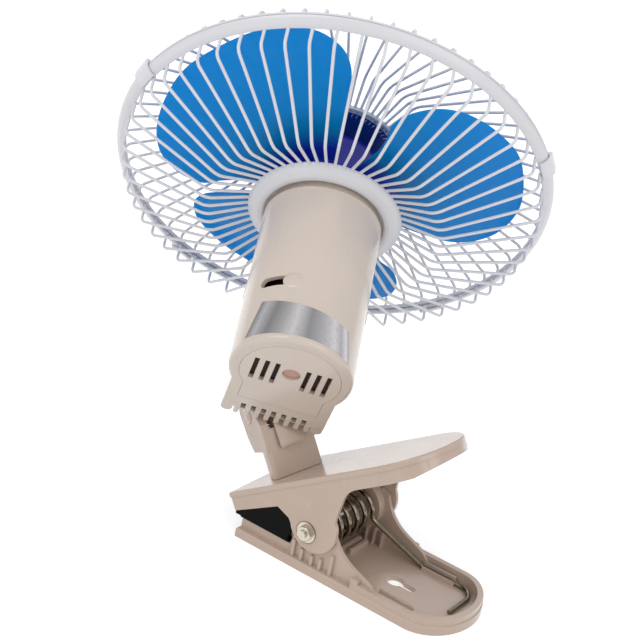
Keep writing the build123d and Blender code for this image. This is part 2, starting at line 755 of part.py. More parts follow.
save("upper_jaw", upper_jaw(), upper_frame)
save("upper_pad", upper_pad())
save("lower_jaw", lower_jaw())
save("lower_pad", lower_pad())
save("hinge_bolt", hinge_bolt())
save("hinge_washer", hinge_washer())
save("hinge_nut", hinge_nut())
save("torsion_spring", torsion_spring())
save("neck_arm", neck_arm(), neck_frame)
save("swivel_washer", swivel_washer(), neck_frame)
save("swivel_screw", swivel_screw(), neck_frame)
save("tilt_bolt", tilt_bolt(), neck_frame)
save("tilt_nut", tilt_nut(), neck_frame)
save("tilt_knuckle", tilt_knuckle(), tilt_frame)
save("front_housing", front_housing(), head_frame)
save("rear_housing", rear_housing(), head_frame)
save("rear_cover", rear_cover(), head_frame)
save("label_foil", label_foil(), head_frame)
save("oscillation_knob", oscillation_knob(), head_frame)
save("pivot_bush", pivot_bush(), head_frame)
save("pivot_washer", pivot_washer(), tilt_frame)
save("pivot_screw", pivot_screw(), tilt_frame)
save("motor_stator", motor_stator(), head_frame)
save("motor_winding", motor_winding(), head_frame)
save("motor_rotor", motor_rotor(), head_frame)
save("front_bracket", front_bracket(), head_frame)
save("rear_bracket", rear_bracket(), head_frame)
save("front_bush", bush(boss_top + plate_t / 2), head_frame)
save("rear_bush", bush(rear_plate + plate_t / 2), head_frame)
save("motor_shaft", motor_shaft(), head_frame)
save("worm", worm(), head_frame)
save("worm_wheel", worm_wheel(), head_frame)
save("crank_link", crank_link(), head_frame)
save("gearbox_plate", gearbox_plate(), head_frame)
save("fan_blade", fan_blade(), head_frame)
save("blade_nut", blade_nut(), head_frame)
save("rear_guard", rear_guard(), head_frame)
save("front_guard", front_guard(), head_frame)
save("guard_badge", guard_badge(), head_frame)
save("guard_clasps", Compound(guard_clasps()), head_frame)
save("guard_screws", Compound(guard_screws()), head_frame)
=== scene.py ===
import bpy
import bmesh
import json
from math import sin, cos, tan, pi, radians, sqrt, atan2, hypot
from mathutils import Vector, Matrix


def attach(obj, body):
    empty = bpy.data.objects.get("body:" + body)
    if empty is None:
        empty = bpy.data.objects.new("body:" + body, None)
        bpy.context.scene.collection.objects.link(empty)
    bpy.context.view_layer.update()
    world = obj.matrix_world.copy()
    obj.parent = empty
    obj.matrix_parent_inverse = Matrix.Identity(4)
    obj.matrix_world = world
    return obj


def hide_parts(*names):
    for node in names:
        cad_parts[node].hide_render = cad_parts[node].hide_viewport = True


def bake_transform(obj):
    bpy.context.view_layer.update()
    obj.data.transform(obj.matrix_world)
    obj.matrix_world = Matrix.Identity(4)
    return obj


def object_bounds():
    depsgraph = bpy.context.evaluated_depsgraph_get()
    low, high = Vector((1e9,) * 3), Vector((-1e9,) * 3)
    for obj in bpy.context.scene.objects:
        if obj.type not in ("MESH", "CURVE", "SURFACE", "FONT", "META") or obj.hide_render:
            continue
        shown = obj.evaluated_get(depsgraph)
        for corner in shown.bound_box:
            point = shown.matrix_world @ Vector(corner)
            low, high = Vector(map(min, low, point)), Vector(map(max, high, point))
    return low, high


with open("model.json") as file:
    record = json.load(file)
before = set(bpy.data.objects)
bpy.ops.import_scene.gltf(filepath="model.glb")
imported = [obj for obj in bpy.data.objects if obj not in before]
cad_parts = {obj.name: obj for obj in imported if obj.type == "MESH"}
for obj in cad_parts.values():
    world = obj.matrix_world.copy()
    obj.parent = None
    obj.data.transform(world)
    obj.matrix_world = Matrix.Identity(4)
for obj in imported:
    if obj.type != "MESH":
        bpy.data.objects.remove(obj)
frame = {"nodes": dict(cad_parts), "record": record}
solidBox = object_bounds()
nodes = frame["nodes"]
mm = 0.001
print("frame loaded:", len(nodes), "nodes")

# camera, solved from the photograph's outlines
cameraSet = {
    "place": (0.37797, -0.62142, 0.42128),
    "right": (0.7967, 0.5780, 0.1764),
    "down": (0.3641, -0.2262, -0.9034),
    "lens": 95.07,
    "sensor": 36.0,
    "clip": (0.01, 20),
}


def makeCamera(s):
    data = bpy.data.cameras.new("camera")
    data.lens = s["lens"]
    data.sensor_width = s["sensor"]
    data.clip_start, data.clip_end = s["clip"]
    camera = bpy.data.objects.new("camera", data)
    bpy.context.collection.objects.link(camera)
    right = Vector(s["right"]).normalized()
    up = -Vector(s["down"])
    up = (up - right * up.dot(right)).normalized()
    back = right.cross(up)
    turn = Matrix((right, up, back)).transposed().to_4x4()
    camera.matrix_world = Matrix.Translation(Vector(s["place"])) @ turn
    bpy.context.scene.camera = camera


makeCamera(cameraSet)


# colours are written as the eye reads them, 0 to 255
def tone(r, g, b):
    parts = [v / 255 for v in (r, g, b)]
    return tuple(v / 12.92 if v <= 0.04045 else ((v + 0.055) / 1.055) ** 2.4 for v in parts) + (1.0,)


studio = {
    "worldColour": (1.0, 1.0, 1.0, 1.0),
    "worldLight": 0.72,
    "floorHalf": 6.0,
    "floorColour": (0.86, 0.86, 0.86, 1),
    "floorGlow": 0.42,
    "aim": (0, 0, 0.1),
    # name, place, size, power
    "lamps": [
        ("keyLamp", (-0.5, -1.3, 1.9), 1.4, 11.0),
        ("fillLamp", (1.5, -0.6, 0.9), 1.2, 5.0),
        ("rimLamp", (-0.9, 1.1, 1.5), 1.2, 5.0),
    ],
}


# 1 for what the camera sees, also through the blade or in a gloss
def seenDirectly(tree):
    path = tree.nodes.new("ShaderNodeLightPath")
    either = tree.nodes.new("ShaderNodeMath")
    either.operation = "MAXIMUM"
    tree.links.new(path.outputs["Is Camera Ray"], either.inputs[0])
    tree.links.new(path.outputs["Is Transmission Ray"], either.inputs[1])
    both = tree.nodes.new("ShaderNodeMath")
    both.operation = "MAXIMUM"
    tree.links.new(either.outputs[0], both.inputs[0])
    tree.links.new(path.outputs["Is Glossy Ray"], both.inputs[1])
    return both.outputs[0]


def makeWorld(s):
    world = bpy.data.worlds.new("studioWorld")
    bpy.context.scene.world = world
    world.use_nodes = True
    tree = world.node_tree
    tree.nodes.clear()
    out = tree.nodes.new("ShaderNodeOutputWorld")
    light = tree.nodes.new("ShaderNodeBackground")
    light.inputs["Color"].default_value = s["worldColour"]
    light.inputs["Strength"].default_value = s["worldLight"]
    white = tree.nodes.new("ShaderNodeBackground")
    white.inputs["Color"].default_value = (1, 1, 1, 1)
    white.inputs["Strength"].default_value = 1.0
    mix = tree.nodes.new("ShaderNodeMixShader")
    path = tree.nodes.new("ShaderNodeLightPath")
    tree.links.new(path.outputs["Is Camera Ray"], mix.inputs[0])
    tree.links.new(light.outputs[0], mix.inputs[1])
    tree.links.new(white.outputs[0], mix.inputs[2])
    tree.links.new(mix.outputs[0], out.inputs["Surface"])


def makeLamp(name, place, aim, size, power):
    data = bpy.data.lights.new(name, "AREA")
    data.shape = "DISK"
    data.size = size
    data.energy = power
    lamp = bpy.data.objects.new(name, data)
    bpy.context.collection.objects.link(lamp)
    lamp.location = place
    lamp.rotation_mode = "QUATERNION"
    lamp.rotation_quaternion = (Vector(aim) - Vector(place)).to_track_quat("-Z", "Y")


def makeFloor(s):
    low = solidBox[0].z
    mesh = bpy.data.meshes.new("floor")
    r = s["floorHalf"]
    mesh.from_pydata([(-r, -r, low), (r, -r, low), (r, r, low), (-r, r, low)], [], [(0, 1, 2, 3)])
    floor = bpy.data.objects.new("floor", mesh)
    bpy.context.collection.objects.link(floor)
    paint = bpy.data.materials.new("paleFloor")
    paint.use_nodes = True
    tree = paint.node_tree
    tree.nodes.clear()
    out = tree.nodes.new("ShaderNodeOutputMaterial")
    matte = tree.nodes.new("ShaderNodeBsdfDiffuse")
    matte.inputs["Color"].default_value = s["floorColour"]
    glow = tree.nodes.new("ShaderNodeEmission")
    glow.inputs["Strength"].default_value = s["floorGlow"]
    add = tree.nodes.new("ShaderNodeAddShader")
    mix = tree.nodes.new("ShaderNodeMixShader")
    tree.links.new(matte.outputs[0], add.inputs[0])
    tree.links.new(glow.outputs[0], add.inputs[1])
    tree.links.new(seenDirectly(tree), mix.inputs[0])
    tree.links.new(matte.outputs[0], mix.inputs[1])
    tree.links.new(add.outputs[0], mix.inputs[2])
    tree.links.new(mix.outputs[0], out.inputs["Surface"])
    mesh.materials.append(paint)


makeWorld(studio)
makeFloor(studio)
for lampName, lampPlace, lampSize, lampPower in studio["lamps"]:
    makeLamp(lampName, lampPlace, studio["aim"], lampSize, lampPower)
bpy.context.scene.view_settings.view_transform = "Standard"
print("studio ready")


# materials
def newPaint(name):
    paint = bpy.data.materials.new(name)
    paint.use_nodes = True
    tree = paint.node_tree
    return paint, tree, tree.nodes["Principled BSDF"]


def addNoise(tree, scale, detail=3.0, rough=0.5):
    place = tree.nodes.new("ShaderNodeTexCoord")
    noise = tree.nodes.new("ShaderNodeTexNoise")
    noise.inputs["Scale"].default_value = scale
    noise.inputs["Detail"].default_value = detail
    noise.inputs["Roughness"].default_value = rough
    tree.links.new(place.outputs["Object"], noise.inputs["Vector"])
    return noise.outputs["Fac"]


def addRamp(tree, value, *stops):
    ramp = tree.nodes.new("ShaderNodeValToRGB")
    marks = ramp.color_ramp.elements
    while len(marks) < len(stops):
        marks.new(0.5)
    for mark, (at, colour) in zip(marks, sorted(stops, key=lambda s: s[0])):
        mark.position = at
        mark.color = colour
    tree.links.new(value, ramp.inputs["Fac"])
    return ramp.outputs["Color"]


def addRange(tree, value, low, high, outLow, outHigh):
    span = tree.nodes.new("ShaderNodeMapRange")
    span.inputs["From Min"].default_value = low
    span.inputs["From Max"].default_value = high
    span.inputs["To Min"].default_value = outLow
    span.inputs["To Max"].default_value = outHigh
    tree.links.new(value, span.inputs["Value"])
    return span.outputs["Result"]


def addMix(tree, amount, first, second):
    mix = tree.nodes.new("ShaderNodeMix")
    mix.data_type = "RGBA"
    for value, place in ((amount, mix.inputs[0]), (first, mix.inputs[6]), (second, mix.inputs[7])):
        if hasattr(value, "is_output"):
            tree.links.new(value, place)
        else:
            place.default_value = value
    return mix.outputs[2]


def addBump(tree, bsdf, value, strength, depth):
    bump = tree.nodes.new("ShaderNodeBump")
    bump.inputs["Strength"].default_value = strength
    bump.inputs["Distance"].default_value = depth
    tree.links.new(value, bump.inputs["Height"])
    tree.links.new(bump.outputs["Normal"], bsdf.inputs["Normal"])


# 1 on convex edges, where paint wears pale
def addEdges(tree, flat=0.52, edge=0.62):
    shape = tree.nodes.new("ShaderNodeNewGeometry")
    return addRange(tree, shape.outputs["Pointiness"], flat, edge, 0.0, 1.0)


def addValue(tree, name):
    value = tree.nodes.new("ShaderNodeAttribute")
    value.attribute_name = name
    return value.outputs["Fac"]


def shade(colour, k):
    return tuple(min(1.0, v * k) for v in colour[:3]) + (1.0,)


def mouldedPlastic(name, colour, gloss=0.36, grain=0.12, vary=0.04, wear=0.25, coat=0.25):
    paint, tree, bsdf = newPaint(name)
    clouds = addNoise(tree, 34.0, 4.0)
    base = addRamp(tree, clouds, (0.3, shade(colour, 1 - vary)), (0.7, shade(colour, 1 + vary)))
    specks = addNoise(tree, 900.0, 2.0, 0.6)
    dusty = addRange(tree, specks, 0.7, 0.85, 0.0, 0.05)
    base = addMix(tree, dusty, base, shade(colour, 0.72))
    worn = addMix(tree, addRange(tree, addEdges(tree), 0.0, 1.0, 0.0, wear), base, shade(colour, 1.18))
    tree.links.new(worn, bsdf.inputs["Base Color"])
    smudge = addNoise(tree, 60.0, 5.0, 0.6)
    rough = addRange(tree, smudge, 0.3, 0.75, gloss - 0.02, gloss + 0.05)
    tree.links.new(rough, bsdf.inputs["Roughness"])
    bsdf.inputs["IOR"].default_value = 1.5
    bsdf.inputs["Coat Weight"].default_value = coat
    bsdf.inputs["Coat Roughness"].default_value = 0.12
    addBump(tree, bsdf, addNoise(tree, 2600.0, 2.0), grain, 0.00004)
    return paint


def turnedMetal(name, colour, gloss=0.3, streak=0.06, grain=0.15, stainAndDarkReflection=0.0, oil=0.0):
    paint, tree, bsdf = newPaint(name)
    lines = addNoise(tree, 700.0, 4.0, 0.6)
    base = addRamp(tree, lines, (0.3, shade(colour, 1 - streak)), (0.7, shade(colour, 1 + streak)))
    # dark spots: stains, and also painted dark reflections that give the metal its contrast
    if stainAndDarkReflection:
        stainAndReflectionSpots = addRange(tree, addNoise(tree, 160.0, 5.0, 0.65), 0.52, 0.7, 0.0, stainAndDarkReflection)
        base = addMix(tree, stainAndReflectionSpots, base, shade(colour, 0.35))
    tree.links.new(base, bsdf.inputs["Base Color"])
    bsdf.inputs["Metallic"].default_value = 1.0
    smear = addNoise(tree, 90.0, 4.0)
    tree.links.new(addRange(tree, smear, 0.3, 0.7, gloss * 0.8, gloss * 1.3), bsdf.inputs["Roughness"])
    bsdf.inputs["Coat Weight"].default_value = oil
    bsdf.inputs["Coat Roughness"].default_value = 0.06
    addBump(tree, bsdf, lines, grain, 0.00003)
    return paint


def softRubber(name, colour):
    paint, tree, bsdf = newPaint(name)
    dust = addNoise(tree, 120.0, 6.0, 0.65)
    tree.links.new(addRamp(tree, dust, (0.55, colour), (0.9, shade(colour, 2.0))), bsdf.inputs["Base Color"])
    tree.links.new(addRange(tree, dust, 0.3, 0.7, 0.3, 0.46), bsdf.inputs["Roughness"])
    bsdf.inputs["Specular IOR Level"].default_value = 0.08
    addBump(tree, bsdf, addNoise(tree, 1500.0, 3.0), 0.12, 0.00004)
    return paint


def blueFilm(name, colour, root):
    paint, tree, bsdf = newPaint(name)
    reach = addValue(tree, "reach")
    stops = [(0.2, root), (0.3, root), (0.4, shade(colour, 0.72)), (0.55, colour), (1.0, shade(colour, 1.12))]
    base = addRamp(tree, reach, *stops)
    clouds = addRange(tree, addNoise(tree, 26.0, 3.0), 0.3, 0.7, 0.0, 0.16)
    base = addMix(tree, clouds, base, shade(colour, 0.82))
    tree.links.new(base, bsdf.inputs["Base Color"])
    tree.links.new(addRange(tree, addNoise(tree, 70.0, 4.0), 0.3, 0.7, 0.14, 0.26), bsdf.inputs["Roughness"])
    bsdf.inputs["IOR"].default_value = 1.35
    addBump(tree, bsdf, addNoise(tree, 60.0, 2.0), 0.05, 0.0003)
    glowThrough = tree.nodes.new("ShaderNodeBsdfTranslucent")
    tree.links.new(base, glowThrough.inputs["Color"])
    mix = tree.nodes.new("ShaderNodeMixShader")
    mix.inputs[0].default_value = 0.42
    out = tree.nodes["Material Output"]
    tree.links.new(bsdf.outputs[0], mix.inputs[1])
    tree.links.new(glowThrough.outputs[0], mix.inputs[2])
    tree.links.new(mix.outputs[0], out.inputs["Surface"])
    return paint


def foilWithPaintedReflections(name, colour):
    paint, tree, bsdf = newPaint(name)
    around = addValue(tree, "around")
    # painted reflections: lighter and darker bands across the foil, by the 'around' value
    paintedReflectionBands = [(0.0, 0.45), (0.08, 1.0), (0.2, 0.5), (0.32, 0.8), (0.42, 1.3), (0.55, 0.62), (0.68, 0.95),
             (0.8, 1.4), (0.88, 0.95), (0.95, 1.5), (1.0, 0.8)]
    base = addRamp(tree, around, *[(at, shade(colour, k)) for at, k in paintedReflectionBands])
    scratch = addNoise(tree, 420.0, 5.0, 0.7)
    base = addMix(tree, addRange(tree, scratch, 0.5, 0.75, 0.0, 0.4), base, shade(colour, 0.6))
    tree.links.new(base, bsdf.inputs["Base Color"])
    bsdf.inputs["Metallic"].default_value = 1.0
    tree.links.new(addRange(tree, scratch, 0.3, 0.7, 0.12, 0.26), bsdf.inputs["Roughness"])
    addBump(tree, bsdf, scratch, 0.12, 0.00003)
    return paint


finishes = {
    "guardPlastic": mouldedPlastic("guardPlastic", tone(219, 219, 224), gloss=0.3, grain=0.02, vary=0.015,
                                   wear=0.2),
    "shellPlastic": mouldedPlastic("shellPlastic", tone(208, 194, 182), gloss=0.2, grain=0.008, vary=0.02,
                                   wear=0.3, coat=0.45),
    "clipPlastic": mouldedPlastic("clipPlastic", tone(190, 169, 154), gloss=0.24, grain=0.008, vary=0.025,
                                  wear=0.3, coat=0.35),
    "blackRubber": softRubber("blackRubber", tone(3, 3, 3)),
    # spring steel: its dark spots are stains and painted dark reflections
    "springSteel": turnedMetal("springSteel", tone(128, 118, 100), gloss=0.11, streak=0.12, grain=0.05,
                               stainAndDarkReflection=0.7, oil=0.6),
    "nickelSteel": turnedMetal("nickelSteel", tone(206, 198, 184), gloss=0.2, streak=0.05),
    "silverFoil": foilWithPaintedReflections("silverFoil", tone(205, 203, 205)),
    "blueBlade": blueFilm("blueBlade", tone(0, 162, 228), tone(24, 32, 182)),
    "navyHub": mouldedPlastic("navyHub", tone(18, 24, 150), gloss=0.3, grain=0.05, wear=0.1),
    "badgeBlue": mouldedPlastic("badgeBlue", tone(14, 62, 146), gloss=0.34, grain=0.05, wear=0.1),
    # painted shade: a near-black brown for sheets put where there is only shade inside the housing
    "paintedDeepShade": mouldedPlastic("paintedDeepShade", tone(42, 15, 11), gloss=0.7, grain=0.02, vary=0.1,
                                wear=0.0, coat=0.0),
    "recessShade": mouldedPlastic("recessShade", tone(186, 148, 130), gloss=0.4, grain=0.05, wear=0.0),
    "coreSteel": turnedMetal("coreSteel", tone(120, 120, 124), gloss=0.4),
    "copperWire": turnedMetal("copperWire", tone(170, 90, 50)),
    "bushBronze": turnedMetal("bushBronze", tone(170, 140, 90), gloss=0.35),
    "gearNylon": mouldedPlastic("gearNylon", tone(232, 228, 216), gloss=0.45),
}

slotFinish = {
    "guard_plastic": "guardPlastic",
    "shell_plastic": "shellPlastic",
    "clip_plastic": "clipPlastic",
    "black_rubber": "blackRubber",
    "spring_steel": "springSteel",
    "zinc_steel": "nickelSteel",
    "silver_foil": "silverFoil",
    "blue_blade": "navyHub",
    "core_steel": "coreSteel",
    "copper_wire": "copperWire",
    "bush_bronze": "bushBronze",
    "gear_nylon": "gearNylon",
}

ownFinish = {"guard_badge": "badgeBlue"}


def dressNodes():
    for part in frame["record"]["subparts"]:
        node = nodes[part["node"]]
        paint = finishes[ownFinish.get(part["node"], slotFinish[part["material_slot"]])]
        node.data.materials.clear()
        node.data.materials.append(paint)


def softenEdges(name, width, steps=2, angle=32.0):
    node = nodes[name]
    bevel = node.modifiers.new("edge", "BEVEL")
    bevel.width = width * mm
    bevel.segments = steps
    bevel.limit_method = "ANGLE"
    bevel.angle_limit = radians(angle)
    bevel.use_clamp_overlap = True


dressNodes()
edgeWidths = {
    "upper_jaw": 0.45, "lower_jaw": 0.35, "upper_pad": 1.5, "lower_pad": 0.5, "neck_arm": 0.9,
    "tilt_knuckle": 0.6, "rear_housing": 0.35, "front_housing": 0.3, "rear_cover": 0.3,
    "oscillation_knob": 0.3, "hinge_nut": 0.3, "hinge_washer": 0.2, "guard_clasps": 0.25,
    "blade_nut": 0.4, "guard_badge": 0.25, "tilt_nut": 0.25,
}
for nodeName, width in edgeWidths.items():
    softenEdges(nodeName, width)
print("nodes dressed")


# frames of the moving groups in millimetres, from the same driving sizes as the solids
stance = {
    "hinge": (27.0, 0.0, 20.7),
    "open": 33.2,
    "neckX": -21.4,
    "jawTop": 25.0,
    "neckTurn": 24.8,
    "tiltAt": (0.5, 0.0, 32.8),
    "tilt": 60.26,
    "swing": 38.95,
    "axisDrop": 50.46,
    "axisBack": 108.7,
}


def spun(axis, angle):
    return Matrix.Rotation(radians(angle), 4, axis)


def moved(*to):
    return Matrix.Translation(Vector(to))


lowerFrame = moved(*stance["hinge"])
upperFrame = lowerFrame @ spun("Y", -stance["open"])
neckFrame = upperFrame @ moved(stance["neckX"], 0, stance["jawTop"]) @ spun("Z", -stance["neckTurn"])
tiltFrame = neckFrame @ moved(*stance["tiltAt"]) @ spun("Y", stance["tilt"])
axesTurn = Matrix(((0, 0, 1, -stance["axisBack"]), (1, 0, 0, 0), (0, 1, 0, stance["axisDrop"]), (0, 0, 0, 1)))
headFrame = tiltFrame @ spun("Z", -stance["swing"]) @ axesTurn


# mesh tools: a shape is a pair of points in millimetres and faces
def joinShapes(shapes):
    points = []
    faces = []
    for shapePoints, shapeFaces in shapes:
        start = len(points)
        points += shapePoints
        faces += [tuple(start + i for i in face) for face in shapeFaces]
    return points, faces


def turnShape(shape, angle):
    turn = Matrix.Rotation(radians(angle), 3, "Z")
    return [turn @ Vector(p) for p in shape[0]], shape[1]


def around(shape, count, first=0.0):
    return joinShapes([turnShape(shape, first + 360 * k / count) for k in range(count)])


def roundCorners(line, radius, steps=4, closed=False):
    path = []
    last = len(line) - 1
    for k, here in enumerate(line):
        p = Vector(here)
        if not closed and k in (0, last):
            path.append(p)
            continue
        before = Vector(line[k - 1]) - p
        after = Vector(line[(k + 1) % len(line)]) - p
        cut = min(radius, before.length * 0.45, after.length * 0.45)
        a = p + before.normalized() * cut
        b = p + after.normalized() * cut
        for s in range(steps + 1):
            t = s / steps
            path.append(a * (1 - t) ** 2 + p * 2 * t * (1 - t) + b * t * t)
    return path


def latheShape(profile, steps):
    points = []
    faces = []
    count = len(profile)
    for k in range(steps):
        a = 2 * pi * k / steps
        points += [Vector((p[0] * cos(a), p[0] * sin(a), p[1])) for p in profile]
        nextStart = ((k + 1) % steps) * count
        for j in range(count):
            i = (j + 1) % count
            faces.append((k * count + j, nextStart + j, nextStart + i, k * count + i))
    return points, faces


def wireShape(path, radius, sides=10, taper=None):
    points = []
    faces = []
    heading = (path[1] - path[0]).normalized()
    side = heading.orthogonal().normalized()
    for k, p in enumerate(path):
        ahead = path[min(k + 1, len(path) - 1)] - path[max(k - 1, 0)]
        heading = ahead.normalized()
        side = (side - heading * side.dot(heading)).normalized()
        other = heading.cross(side)
        r = radius * (taper[k] if taper else 1.0)
        for s in range(sides):
            a = 2 * pi * s / sides
            points.append(p + (side * cos(a) + other * sin(a)) * r)
        if k:
            for s in range(sides):
                t = (s + 1) % sides
                faces.append(((k - 1) * sides + s, (k - 1) * sides + t, k * sides + t, k * sides + s))
    faces.append(tuple(reversed(range(sides))))
    faces.append(tuple((len(path) - 1) * sides + s for s in range(sides)))
    return points, faces


def blockShape(x0, x1, y0, y1, z0, z1, edge=0.25):
    # a bar with chamfered edges all round
    e = min(edge, (x1 - x0) / 3, (y1 - y0) / 3, (z1 - z0) / 3)
    rings = []
    for z, g in ((z0, e), (z0 + e, 0), (z1 - e, 0), (z1, e)):
        a, b, c, d = x0 + g, x1 - g, y0 + g, y1 - g
        rings.append([(a + e, c, z), (b - e, c, z), (b, c + e, z), (b, d - e, z),
                      (b - e, d, z), (a + e, d, z), (a, d - e, z), (a, c + e, z)])
    points = [Vector(p) for ring in rings for p in ring]
    faces = [tuple(reversed(range(8))), tuple(24 + i for i in range(8))]
    for k in range(3):
        for i in range(8):
            j = (i + 1) % 8
            faces.append((k * 8 + i, k * 8 + j, k * 8 + 8 + j, k * 8 + 8 + i))
    return points, faces


def slabShape(profile, y0, y1, edge=0.4):
    # a side view (x, z) pushed along y, with chamfered ends
    middle = sum((Vector(p) for p in profile), Vector((0, 0))) / len(profile)
    count = len(profile)
    points = []
    for y, inset in ((y0, edge), (y0 + edge, 0), (y1 - edge, 0), (y1, edge)):
        for p in profile:
            away = Vector(p) - middle
            q = middle + away * (1 - inset / away.length)
            points.append(Vector((q.x, y, q.y)))
    faces = [tuple(reversed(range(count))), tuple(3 * count + i for i in range(count))]
    for k in range(3):
        for i in range(count):
            j = (i + 1) % count
            faces.append((k * count + i, k * count + j, k * count + count + j, k * count + count + i))
    return points, faces


def makePiece(name, shape, place, finish, body, hides=(), sharp=35.0, values=None):
    mesh = bpy.data.meshes.new(name)
    mesh.from_pydata([tuple((place @ Vector(p)) * mm) for p in shape[0]], [], shape[1])
    for label, numbers in (values or {}).items():
        layer = mesh.attributes.new(label, "FLOAT", "POINT")
        layer.data.foreach_set("value", numbers)
    mesh.update()
    outward = bmesh.new()
    outward.from_mesh(mesh)
    bmesh.ops.recalc_face_normals(outward, faces=outward.faces)
    outward.to_mesh(mesh)
    outward.free()
    mesh.polygons.foreach_set("use_smooth", [True] * len(mesh.polygons))
    mesh.set_sharp_from_angle(angle=radians(sharp))
    mesh.materials.append(finishes[finish])
    piece = bpy.data.objects.new(name, mesh)
    bpy.context.collection.objects.link(piece)
    if body:
        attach(piece, body)
    if hides:
        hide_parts(*hides)
    return piece


def inPlane(pairs):
    return [Vector((r, 0, z)) for r, z in pairs]


# guards
rearGuard = {
    "wire": 0.78,
    "count": 58,
    "first": 3.94,
    "line": [(104.7, 3.6), (104.6, 12.6), (103.0, 14.8), (60.0, 31.6), (56.6, 31.8), (38.6, 25.3),
             (36.6, 25.4)],
    "bend": 3.0,
    "band": [(110, 0.5), (109.4, 1.9), (107.6, 3.7), (105.0, 4.8), (104.4, 3.2), (106.8, 2.1), (108.1, 0.5)],
    "collar": [(12, 24.3), (30, 24.3), (37.8, 23.8), (38.4, 25.2), (37.5, 26.8), (35.4, 28.4), (32.6, 29.5),
               (30.6, 29.6), (29.5, 28.9), (29.5, 26.3), (12, 26.3)],
}


def makeRearGuard(s):
    line = roundCorners(inPlane(s["line"]), s["bend"], 5)
    wires = around(wireShape(line, s["wire"], 10), s["count"], s["first"])
    band = latheShape(roundCorners(s["band"], 0.5, 3, True), 232)
    collar = latheShape(roundCorners(s["collar"], 0.6, 3, True), 144)
    shape = joinShapes([wires, band, collar])
    makePiece("rearGuardCage", shape, headFrame, "guardPlastic", "head", ["rear_guard"])


frontGuard = {
    "wire": 0.75,
    "count": 65,
    "first": 1.57,
    "line": [(106.9, -0.5), (107.4, -4.8), (106.0, -7.0), (49.0, -27.2), (45.0, -27.4), (31.0, -20.6),
             (27.8, -20.5)],
    "bend": 3.0,
    "rim": [(105.4, -1.1), (110, -1.1), (110, 0.2), (107, 0.2), (107, 1.2), (105.4, 1.2)],
    "eye": [(29.4, -21.6), (31.2, -21.6), (31.2, -19.5), (29.4, -19.5)],
    "eyeInner": [(27.5, -21.4), (28.1, -21.4), (28.1, -19.9), (27.5, -19.9)],
}


def makeFrontGuard(s):
    line = roundCorners(inPlane(s["line"]), s["bend"], 5)
    wires = around(wireShape(line, s["wire"], 10), s["count"], s["first"])
    rings = [latheShape(roundCorners(s[key], 0.3, 3, True), steps)
             for key, steps in (("rim", 232), ("eye", 130), ("eyeInner", 130))]
    shape = joinShapes([wires] + rings)
    makePiece("frontGuardCage", shape, headFrame, "guardPlastic", "head", ["front_guard"])


badgeTicks = {
    "count": 65,
    "first": 1.57,
    "inner": 24.6,
    "outer": 26.8,
    "half": 0.2,
    "low": -20.2,
    "high": -19.65,
    "edge": 0.15,
}


def makeBadgeTicks(s):
    tick = blockShape(s["inner"], s["outer"], -s["half"], s["half"], s["low"], s["high"], s["edge"])
    makePiece("badgeTicks", around(tick, s["count"], s["first"]), headFrame, "guardPlastic", "head")


makeRearGuard(rearGuard)
makeFrontGuard(frontGuard)
makeBadgeTicks(badgeTicks)
print("guards made")


# blade: three thin petals on a cup-shaped hub
bladeForm = {
    "edge": [
        (16, -50), (32, -54), (48, -54), (62, -53), (76, -51), (86, -46), (93, -37), (95.5, -22), (95.5, 0),
        (93.5, 15), (90.5, 28), (85, 37), (75, 43.5), (64, 46.5), (55, 44), (44, 41.5), (30, 43), (16, 46)],
    "half": 0.75,
    "mid": 12.0,
    "rake": 8.5,
    "pitch": 8.5,
    "bow": 1.8,
    "reach": 96.0,
    "petals": 3,
    "phase": 30.0,
    "middle": (58.0, -8.0),
    # share of the outline and of the half thickness, from the edge inwards
    "rings": ((0.997, 0.55), (0.99, 0.88), (0.975, 1.0), (0.94, 1.0), (0.85, 1.0), (0.7, 1.0), (0.5, 1.0),
              (0.25, 1.0)),
    "hub": [(2.6, -11), (19.4, -11), (21.5, -10.2), (22, -7.6), (22, 13.5), (20.4, 13.5), (20.4, -6.4),
            (19.0, -8.2), (6.6, -8.8), (6.6, 13.5), (2.6, 13.5)],
    "fins": 6,
    "finFirst": 15.0,
    "fin": (6.0, 20.8, -0.6, 0.6, -8.6, 9.0, 0.2),
}


def closedCurve(points, steps):
    curve = []
    count = len(points)
    for k in range(count):
        p = [Vector(points[(k + d) % count]) for d in (-1, 0, 1, 2)]
        for s in range(steps):
            t = s / steps
            slope = p[2] - p[0]
            bend = 2 * p[0] - 5 * p[1] + 4 * p[2] - p[3]
            twist = 3 * p[1] - p[0] - 3 * p[2] + p[3]
            curve.append(0.5 * ((2 * p[1]) + slope * t + bend * t * t + twist * t ** 3))
    return curve


def petalHeight(s, x, y):
    rake = tan(radians(s["rake"]))
    pitch = tan(radians(s["pitch"]))
    return s["mid"] - x * rake + y * pitch - s["bow"] * (y / s["reach"]) ** 2


def petalShape(s):
    corners = [(r * cos(radians(a)), r * sin(radians(a))) for r, a in s["edge"]]
    loop = closedCurve(corners, 7)
    middle = Vector(s["middle"])
    count = len(loop)
    points = []
    faces = []

    def ring(scale, lift):
        start = len(points)
        for p in loop:
            q = middle + (p - middle) * scale
            points.append(Vector((q.x, q.y, petalHeight(s, q.x, q.y) + lift)))
        return start

    edge = ring(1.0, 0.0)
    for side in (1, -1):
        last = edge
        for scale, lift in s["rings"]:
            here = ring(scale, side * lift * s["half"])
            for i in range(count):
                j = (i + 1) % count
                face = (last + i, last + j, here + j, here + i)
                faces.append(face if side > 0 else tuple(reversed(face)))
            last = here
        points.append(Vector((middle.x, middle.y, petalHeight(s, middle.x, middle.y) + side * s["half"])))
        tip = len(points) - 1
        for i in range(count):
            face = (last + i, last + (i + 1) % count, tip)
            faces.append(face if side > 0 else tuple(reversed(face)))
    return points, faces


